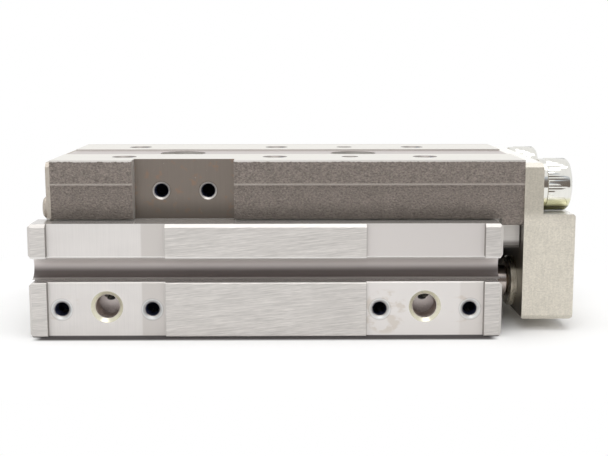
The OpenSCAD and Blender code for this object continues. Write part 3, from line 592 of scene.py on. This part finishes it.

# %% [markdown]
# ### Top faces, base edge and the last grain
# The top faces are milled smooth, and the foot of the outer faces along the base is painted
# dark as a contact shadow. The relief comes last: the brush lines bend the light a little,
# and so does a very fine grain of the coat. Both stay so shallow that no outline has to
# change for them.

# %% Top faces and the finished body
milled_top = skin.rise(upward, 0.85, 0.97)
skin.polish(milled_top, 0.2)
skin.paint(milled_top, tone(196, 192, 188))
# painted contact shadow along the foot of the outer faces
base_contact_shade = skin.both(skin.rise(z, 0.2, 0.1), skin.rise(side, pad_y - 0.2, pad_y - 0.1))
skin.paint(base_contact_shade, tone(70, 66, 64), 0.85)
skin.emboss(brush, 0.012, 0.6)
skin.emboss(skin.grain((0.12, 0.12, 0.12)), 0.004, 0.5)
dress(skin.done(), "body")

# %% [markdown]
# ## The table: ground faces
# The table is a forging, and only what has to be flat is ground bright: the two strips on
# top, the legs and the tracks. The grinding lines run along it. Between the strips the
# face lies a little lower and is only milled, so it is darker. A second material for
# these faces would need a cut in the mesh, and a mask by height needs none.

# %% Ground faces
table_low, table_high = (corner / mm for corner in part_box("table"))
flank_y = table_high.y
relief_z = table_high.z - 0.3                 # the lower face between the strips
steel = Finish("table_ground_and_forged", tone(214, 210, 205), metal=0.6, rough=0.35)
x, y, z = steel.place()
_, facing_y, upward = steel.facing()
side = steel.calc("ABSOLUTE", y)
lines = steel.grain((9, 0.25, 0.25), detail=3)
on_top = steel.rise(upward, 0.85, 0.97)
steel.paint(steel.both(on_top, steel.rise(z, relief_z + 0.02, relief_z + 0.1)),
            tone(224, 221, 214))
worn_edge = steel.both(on_top, steel.rise(side, flank_y - 2.6, flank_y))
steel.paint(worn_edge, tone(190, 184, 176), 0.5)
steel.shade(lines, 0.05)
relief = steel.both(steel.rise(z, relief_z + 0.05, relief_z - 0.02),
                    steel.rise(z, relief_z - 0.1, relief_z - 0.03))
steel.paint(relief, tone(183, 173, 170))
# painted shade in the countersunk mouths of the holes on top
hole_mouth_shade = steel.both(steel.band(upward, 0.5, 0.85),
                         steel.rise(z, relief_z - 0.3, relief_z - 0.2),
                         steel.rise(side, flank_y - 1, flank_y - 1.3))
steel.paint(hole_mouth_shade, tone(128, 122, 118))
print("table in mm:", [round(value, 2) for value in table_high - table_low])

# %% [markdown]
# ### The skin of the forging
# The flanks keep the dark skin of the forging die, a fine ripple of a third of a millimetre,
# both as tone and as relief, with a parting line where the two halves of the die met, which
# gets a painted highlight. A swirled noise gives that ripple. Its upper end is ragged,
# because a grinding wheel takes off whatever stands highest, and low down the flank is
# painted shade, darker towards the bottom.

# %% Forged flanks
skin_foot = 19.8                              # below this the legs are ground
parting_z = table_high.z - 4.5
foot_shade_z, foot_shade_x = (24.5, 21.2), (44.5, 40.5)     # where the painted shade starts, and where it is full
leg_shade_z, leg_shade_x = (16.9, 16.0), (42.5, 43)
ragged = steel.calc("MULTIPLY", steel.grain((0.5, 0.5, 0.3), detail=3), 0.5)
upper_end = steel.calc("SUBTRACT", table_high.z - 0.02, ragged)
die_skin = steel.both(steel.rise(side, flank_y - 0.9, flank_y - 0.8),
                      steel.rise(steel.calc("SUBTRACT", upper_end, z), 0.0, 0.04),
                      steel.rise(steel.calc("ABSOLUTE", facing_y), 0.15, 0.3),
                      steel.rise(z, skin_foot, skin_foot + 0.05))
ripple = steel.grain((0.36, 0.36, 0.26), detail=2, swirl=0.6)
steel.paint(die_skin, tone(142, 133, 126))
steel.shade(ripple, 0.42, die_skin)
steel.shade(steel.grain((3, 3, 3), detail=3, rough=0.6), 0.06, die_skin)
# painted highlight along the parting line, which also lightens the shade under its small step
parting = steel.both(die_skin, steel.band(z, parting_z - 0.08, parting_z + 0.28, 0.1))
steel.paint(parting, tone(182, 174, 167), 0.8)
# painted shade low on the flanks, darker towards the bottom, except at the front end
foot_shade = steel.both(die_skin, steel.rise(z, *foot_shade_z), steel.rise(x, *foot_shade_x))
steel.paint(foot_shade, tone(86, 80, 74), 0.55)
steel.polish(die_skin, 0.72)
# painted shade low on the legs where they reach past the body into the gap by the end plate
leg_end_shade = steel.both(steel.rise(x, *leg_shade_x), steel.rise(z, *leg_shade_z),
                     steel.rise(side, flank_y - 2, flank_y - 2.5))
steel.paint(leg_end_shade, tone(72, 64, 60), 0.75)
print("parting line", round(parting_z, 2), "mm above the base")

# %% [markdown]
# ### The milled pad on the flank
# A flat pad is milled into the flank for a stop block. Bare steel in there has gone brown and
# grey with handling, with a few bright specks. Its lower part is painted shade, darker
# towards the bottom, and its two holes are painted dark as shade. All of it is painted by the
# place of the pad's own two holes. The tones are faint and ragged, as on the body, so that
# the pad looks used and not spotted.

# %% Milled pad and finished table
pad_x, pad_face_y, pad_z = mount_place("table_stop_holes")
hole_step = mounts["table_stop_holes"]["dims"]["spacing_x_mm"] / 2
pad_reach = 9.3                               # half the pad's length
milled = steel.both(steel.band(y, pad_face_y - 0.1, pad_face_y + 0.1, 0.02),
                    steel.band(x, pad_x - pad_reach, pad_x + pad_reach))
steel.paint(milled, tone(121, 112, 104))
steel.shade(steel.grain((0.2, 2, 6)), 0.04, milled)
stained = steel.rise(steel.grain((1.6, 1.6, 1.3), detail=3), 0.57, 0.7)
steel.paint(steel.both(milled, stained), tone(150, 112, 84), 0.35)
specks = steel.rise(steel.grain((0.35, 0.35, 0.35)), 0.74, 0.8)
steel.paint(steel.both(milled, specks), tone(190, 184, 178))
# painted shade on the lower part of the pad, darker towards the bottom
steel.paint(steel.both(milled, steel.rise(z, 25.5, 21.5)), tone(84, 77, 70), 0.7)
holes = steel.either(*[steel.disc(x, z, (pad_x + step, pad_z), 1.3, 0.03)
                       for step in (-hole_step, hole_step)])
# painted shade inside the pad's two holes
pad_hole_shade = steel.both(holes, steel.band(y, pad_face_y + 0.3, pad_face_y + 6))
steel.paint(pad_hole_shade, tone(40, 38, 48))
steel.emboss(steel.calc("MULTIPLY", ripple, die_skin), 0.3)
steel.emboss(lines, 0.004, 0.5)
dress(steel.done(), "table")

# %% [markdown]
# ## The end plate: khaki anodise over a bead-blasted surface
# The plate is blasted before it is anodised, so its skin is matt with a very fine grain,
# and the sealed coat gives it a warm grey-green. The grain is tone and relief at once:
# tone alone would look printed, and relief alone disappears in such soft light.

# %% End plate finish
pale_below, full_above = 20.5, 23             # the upper part has a fuller tint
coat = Finish("plate_khaki_anodise", tone(215, 209, 196), metal=0.35, rough=0.5)
_, _, z = coat.place()
facing_x, _, upward = coat.facing()
blasted = coat.grain((0.3, 0.2, 0.2), detail=3)
coat.paint(coat.rise(z, pale_below, full_above), tone(187, 181, 168))
coat.shade(blasted, 0.14)
coat.shade(coat.grain((0.2, 0.2, 2.4), detail=3), 0.06)
coat.shade(coat.grain((2.5, 2.5, 2.5), detail=2), 0.03)
# painted highlight: the plate's upward faces are painted near white
plate_top_highlight = coat.rise(upward, 0.6, 0.9)
coat.paint(plate_top_highlight, tone(250, 248, 242))
coat.polish(plate_top_highlight, 0.25)
# the lower face towards the body is painted shade, where the gap beside the body lies in
# shadow
plate_inner_shade = coat.both(coat.rise(facing_x, -0.85, -0.97),
                  coat.rise(z, pale_below + 1.5, pale_below))
coat.paint(plate_inner_shade, tone(92, 84, 74))
coat.polish(plate_inner_shade, 0.3)
coat.emboss(blasted, 0.02, 0.7)
dress(coat.done(), "end_plate")

# %% [markdown]
# ## Steel, chrome, rubber and brass
# The small pieces share a few finishes: ground steel for the guide, bright plating on
# the screws, hard chrome on the rods, black rubber, and brass for the roller cages. Each
# gets the fine marks of the way that it is made.

# %% Finishes of the small pieces
def turned_finish(name, colour, rough, marks, depth=0.003):
    """Bright metal with the fine rings of a lathe or the lines of a grinding wheel."""
    metal = Finish(name, colour, metal=1.0, rough=rough)
    rings = metal.grain(marks, detail=3)
    metal.shade(rings, 0.06)
    if depth:
        metal.polish(metal.rise(rings, 0.45, 0.7), min(1.0, rough * 1.5))
        metal.emboss(rings, depth, 0.6)
    return metal.done()


def head_finish():
    """The plating of the two big heads, with a painted greenish reflection of the khaki plate
    and a painted shadow on their undersides.
    """
    plating = Finish("screw_head_plating", tone(226, 225, 219), metal=1.0, rough=0.1)
    _, _, z = plating.place()
    plating.shade(plating.grain((0.6, 3, 3), detail=3), 0.06)
    # painted reflection and painted shadow, in bands by height on the heads
    for painted_light_top, painted_light_full, colour in ((25.0, 24.1, (218, 216, 182)),
                                        (23.4, 22.9, (110, 106, 84)),
                                        (22.9, 22.5, (170, 167, 128))):
        plating.paint(plating.rise(z, painted_light_top, painted_light_full), tone(*colour))
    return plating.done()


def rubber_finish():
    """Black rubber with the grey bloom that comes to its surface."""
    rubber = Finish("seal_rubber", tone(44, 44, 46), rough=0.6)
    bloom = rubber.grain((0.6, 0.6, 0.6), detail=3)
    rubber.shade(bloom, 0.15)
    rubber.emboss(bloom, 0.01, 0.4)
    return rubber.done()


print("helpers are ready: turned_finish, head_finish and rubber_finish")

# %% [markdown]
# ### One finish for each trade
# A lathe leaves rings across the axis, and a grinding wheel leaves lines along the work.
# So each finish gets the size of its marks along X, Y and Z: short along X for turned
# rods and caps, long along X for the ground guide, and the same all round for zinc.

# %% Metals and rubber of the small pieces
guide_steel = turned_finish("guide_ground_steel", tone(178, 176, 172), 0.28, (8, 0.2, 0.2))
screw_plating = turned_finish("screw_plating", tone(226, 225, 219), 0.1, (0.6, 3, 3), 0)
head_plating = head_finish()
rod_chrome = turned_finish("rod_hard_chrome", tone(182, 172, 166), 0.16, (0.06, 3, 3), 0.001)
brass = turned_finish("cage_brass", tone(196, 168, 104), 0.35, (5, 0.3, 0.3))
cap_coat = turned_finish("cap_chromate", tone(206, 202, 190), 0.4, (0.1, 3, 3))
magnet_coat = turned_finish("magnet_nickel", tone(96, 97, 102), 0.4, (0.2, 2, 2))
bushing_steel = turned_finish("bushing_dark_plating", tone(192, 184, 168), 0.24, (0.08, 3, 3))
cover_steel = turned_finish("cover_dull_zinc", tone(186, 178, 168), 0.5, (0.4, 0.4, 0.4))
rubber = rubber_finish()

# %% [markdown]
# ### The small pieces get their finishes
# Pieces that come from the same trade share one finish, since a machine shop plates a
# whole basket of screws at once. Those that hardly show get theirs too, such as the cages
# and the rollers, because the part may later be shown in section.

# %% Small pieces dressed
dress(guide_steel, "guide_block", "guide_end_stops", "retaining_rings",
      "rod_end_washers", "port_plugs")
dress(cover_steel, "end_cover", "end_cover_screws")
dress(screw_plating, "guide_block_screws", "end_stop_screws", "end_plate_screws",
      "rod_end_screws", "left_rollers", "right_rollers")
dress(rod_chrome, "left_piston_rod", "right_piston_rod")
dress(bushing_steel, "left_floating_bushing", "right_floating_bushing")
dress(cap_coat, "left_head_cap", "right_head_cap", "left_rod_cover", "right_rod_cover",
      "left_piston", "right_piston")
dress(brass, "left_roller_cage", "right_roller_cage")
dress(magnet_coat, "piston_magnets")
dress(rubber, "head_cap_o_rings", "rear_bumpers", "rod_cover_o_rings", "rod_seals",
      "front_bumpers", "piston_seals")

# %% [markdown]
# ## Drawing a turned shape out
# A socket cap screw is turned on a lathe, and its head has a knurled band, so that fingers
# can turn it. The head could be a cylinder with a bump map, but the ridges show in
# outline. So a circle is drawn out step by step along the screw, as a lathe would leave
# it: each step extrudes the last ring of points and gives them a new radius.

# %% Rings and steps
def ring_edges(bm, verts):
    """The edges that join the points of one ring."""
    chosen = set(verts)
    return [e for e in bm.edges if e.verts[0] in chosen and e.verts[1] in chosen]


def draw_out(bm, ring, rise, radius_of):
    """Extrudes a ring of points along Z and gives each point its radius."""
    grown = bmesh.ops.extrude_edge_only(bm, edges=ring_edges(bm, ring))
    top = [v for v in grown["geom"] if isinstance(v, bmesh.types.BMVert)]
    for v in top:
        angle = math.atan2(v.co.y, v.co.x)
        v.co.z += rise
        radius = radius_of(angle)
        v.co.x, v.co.y = radius * math.cos(angle), radius * math.sin(angle)
    return top


def round_by(radius):
    """A plain circle, for draw_out."""
    return lambda angle: radius


print("a ring is drawn out along Z, and each point gets a radius by its angle")

# %% [markdown]
# ## The knurled screw
# In the knurled band every second point is pulled in, which makes straight ridges as a
# knurling wheel rolls them. The foot of the head is chamfered, its rim is rounded in four
# small steps, and the socket follows a hexagon on the same points, so that the whole
# screw is one closed skin.

# %% Screw shape
ridges = 60
knurl_depth = 0.06 * mm
foot_steps = ((0, 0.25), (0.15, 0.1), (0.85, 0.1))            # rise and inset, in mm
rim_steps = ((0.3, 0.12), (0.25, 0.3), (0.2, 0.6), (0.13, 1.0))
knurl_start, plain_height = 0.12 * mm, 2.0 * mm


def knurled_screw(head_d, head_h, shank_d, shank_l, socket):
    """A screw that points along -Z with the underside of its head at z = 0."""
    full = head_d / 2
    sixth = math.radians(60)

    def knurl(angle):
        return full - knurl_depth * (round(angle / math.pi * ridges) % 2)

    def hexagon(angle):
        return socket / 2 / math.cos((angle % sixth) - sixth / 2)

    bm = bmesh.new()
    base = bmesh.ops.create_circle(bm, segments=2 * ridges, radius=shank_d / 2)
    tip = ring = base["verts"]
    bmesh.ops.translate(bm, verts=ring, vec=(0, 0, -shank_l))
    ring = draw_out(bm, ring, shank_l, round_by(shank_d / 2))
    for rise, inset in foot_steps:
        ring = draw_out(bm, ring, rise * mm, round_by(full - inset * mm))
    for rise in (knurl_start, head_h - plain_height):
        ring = draw_out(bm, ring, rise, knurl)
    for rise, inset in rim_steps:
        ring = draw_out(bm, ring, rise * mm, round_by(full - inset * mm))
    for rise in (0, -head_h / 2):
        ring = draw_out(bm, ring, rise, hexagon)
    bmesh.ops.contextual_create(bm, geom=ring_edges(bm, ring))
    bmesh.ops.contextual_create(bm, geom=ring_edges(bm, tip))
    bmesh.ops.recalc_face_normals(bm, faces=bm.faces)
    return bm


print("each head has", ridges, "ridges,", round(knurl_depth / mm, 3), "mm deep")

# %% [markdown]
# ## From a bmesh to a piece of the object
# A bmesh becomes a mesh, and the mesh an object at the origin, with its place in its
# points. Smooth faces with sharp edges kept by angle give round parts a clean shine
# without more faces. The piece then rides on a body of the frame, so that it moves with
# the table or stays with the housing.

# %% Making a piece
def pour(bm, target):
    """Adds a finished bmesh to another one."""
    swap = bpy.data.meshes.new("swap")
    bm.to_mesh(swap)
    bm.free()
    target.from_mesh(swap)
    bpy.data.meshes.remove(swap)


def add_piece(name, bm, material, body, smooth_below=35):
    """Makes the shape an object at the origin that rides on a body."""
    mesh = bpy.data.meshes.new(name)
    bm.to_mesh(mesh)
    bm.free()
    for face in mesh.polygons:
        face.use_smooth = True
    mesh.set_sharp_from_angle(angle=math.radians(smooth_below))
    mesh.materials.append(material)
    made = bpy.data.objects.new(name, mesh)
    bpy.context.scene.collection.objects.link(made)
    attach(made, body)
    print(name, "has", len(mesh.polygons), "faces")
    return made


print("helpers are ready: pour and add_piece")

# %% [markdown]
# ## The two screws in their places
# The frame's plain screws give the places: the box round them says where the heads end,
# how high they sit and how far apart they are. Each new screw is turned so that its head
# points along X, and both become one piece that stands in for the plain one. Its heads
# stay inside the outline of the plain heads.

# %% Screws in place
screws_low, screws_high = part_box("end_plate_screws")
head_d, shank_d, shank_l, socket = 9.8 * mm, 6 * mm, 16 * mm, 5 * mm
head_base = screws_low.x + shank_l
screw_z = (screws_low.z + screws_high.z) / 2
screw_y = screws_high.y - head_d / 2
head_along_x = Matrix.Rotation(math.pi / 2, 4, "Y")
screws = bmesh.new()
for hand in (-1, 1):
    screw = knurled_screw(head_d, screws_high.x - head_base, shank_d, shank_l, socket)
    to_place = Matrix.Translation((head_base, hand * screw_y, screw_z))
    bmesh.ops.transform(screw, verts=screw.verts, matrix=to_place @ head_along_x)
    pour(screw, screws)
plate_screws = add_piece("knurled_plate_screws", screws, head_plating, "slide",
                         smooth_below=20)
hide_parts("end_plate_screws")

# %% [markdown]
# ## Where the threaded holes are
# The frame's mounts list each pattern of holes once, with its middle, the direction out
# of the surface and the spacing. Typed-in places would go wrong as soon as the part gets
# another size. So one function turns a mount into the centres of its holes.

# %% Hole places
def hole_places(name):
    """The centres of a mount's holes on its face, and the direction out of them."""
    mount = mounts[name]
    centre, out, dims = Vector(mount["pos_m"]), Vector(mount["axis"]), mount["dims"]
    across = Vector((0, 1, 0)) if abs(out.x) > 0.5 else Vector((1, 0, 0))
    up = Vector((0, 1, 0)) if abs(out.z) > 0.5 else Vector((0, 0, 1))
    if "length_mm" in dims:
        centre = centre + out * dims["length_mm"] * mm / 2
    half_across = dims.get("spacing_x_mm", 0) * mm / 2
    half_up = dims.get("spacing_y_mm", 0) * mm / 2
    places = []
    for a in ((-half_across, half_across) if half_across else (0,)):
        for b in ((-half_up, half_up) if half_up else (0,)):
            places.append(centre + across * a + up * b)
    return places, out


print("load holes in the end plate:", len(hole_places("front_plate_bolts")[0]))

# %% [markdown]
# ## Threads in the holes
# A tapped hole shows its thread as fine dark rings under the countersink. A bump map could
# draw them, but a ridge that really winds round the hole catches the light from any side.
# A small triangle is spun round the hole's axis while each step also moves it along, which
# is what a tap does. The ridge's root is sunk a little into the wall, so that no gap shows
# between them.

# %% Thread ridges
root_sunk = 0.03 * mm
first_turn = 0.4 * mm          # how far the thread starts below the mouth
crest_reach = 0.16             # height of the ridge, as a share of the pitch
half_base = 0.4                # half its width at the root, as a share of the pitch


def thread_ridge(bm, mouth, out, hole_r, pitch, turns, steps=20):
    """A ridge with a triangular section that winds into a hole from its mouth."""
    ridge = bmesh.new()
    aside = out.orthogonal().normalized()
    root, crest = hole_r + root_sunk, hole_r - crest_reach * pitch
    start = mouth - out * first_turn
    section = [ridge.verts.new(start + aside * reach + out * along)
               for reach, along in ((root, half_base * pitch), (crest, 0),
                                    (root, -half_base * pitch))]
    ridge.faces.new(section)
    around = bmesh.ops.spin(ridge, geom=ridge.edges[:], cent=start, axis=-out,
                            dvec=-out * pitch / steps, angle=2 * math.pi * turns,
                            steps=round(steps * turns))
    last = [e for e in around["geom_last"] if isinstance(e, bmesh.types.BMEdge)]
    bmesh.ops.contextual_create(ridge, geom=last)
    bmesh.ops.recalc_face_normals(ridge, faces=ridge.faces)
    pour(ridge, bm)


def threads(name, mount_names, hole_r, pitch, turns, material, body):
    """One piece with a thread in each hole of the named mounts."""
    bm = bmesh.new()
    for mount_name in mount_names:
        places, out = hole_places(mount_name)
        for mouth in places:
            thread_ridge(bm, mouth, out, hole_r * mm, pitch * mm, turns)
    piece = add_piece(name, bm, material, body, smooth_below=50)
    return piece


print("a ridge stands", crest_reach, "of its pitch into the hole")

# %% [markdown]
# ## Every thread in its hole
# Small machines use few threads: M5 for the air, M3 for the stop blocks and M4 for the load.
# Each set is one piece, because all its holes have the same size, sit on the same body and
# get the same finish. Freshly cut metal is brighter than the skin round it, but it lies deep
# in the hole, so the narrow ones get a darker tone, which is painted shade.

# %% Threads in place
m3_core_r, m3_pitch = stop_r, 0.5
m4_core_r, m4_pitch = mounts["table_bolts"]["dims"]["hole_r_mm"], 0.7
m5_core_r, m5_pitch = port_r, 0.8
port_cut = turned_finish("port_thread_cut", tone(206, 196, 190), 0.3, (0.3, 0.3, 0.3), 0.001)
# painted shade: the threads in the narrow holes get a darker tone
shaded_hole_cut = turned_finish("hole_thread_cut", tone(112, 116, 140), 0.3, (0.3, 0.3, 0.3), 0.001)
threads("port_threads", ["extend_port", "retract_port"], m5_core_r, m5_pitch, 4.5,
        port_cut, "housing")
threads("stop_hole_threads", ["rear_stop_holes", "front_stop_holes"], m3_core_r, m3_pitch,
        6, shaded_hole_cut, "housing")
threads("table_pad_threads", ["table_stop_holes"], m3_core_r, m3_pitch, 6, shaded_hole_cut,
        "slide")
threads("table_top_threads", ["table_bolts", "table_bolts_middle"], m4_core_r, m4_pitch, 4,
        shaded_hole_cut, "slide")
threads("plate_front_threads", ["front_plate_bolts"], m4_core_r, m4_pitch, 3, shaded_hole_cut,
        "slide")
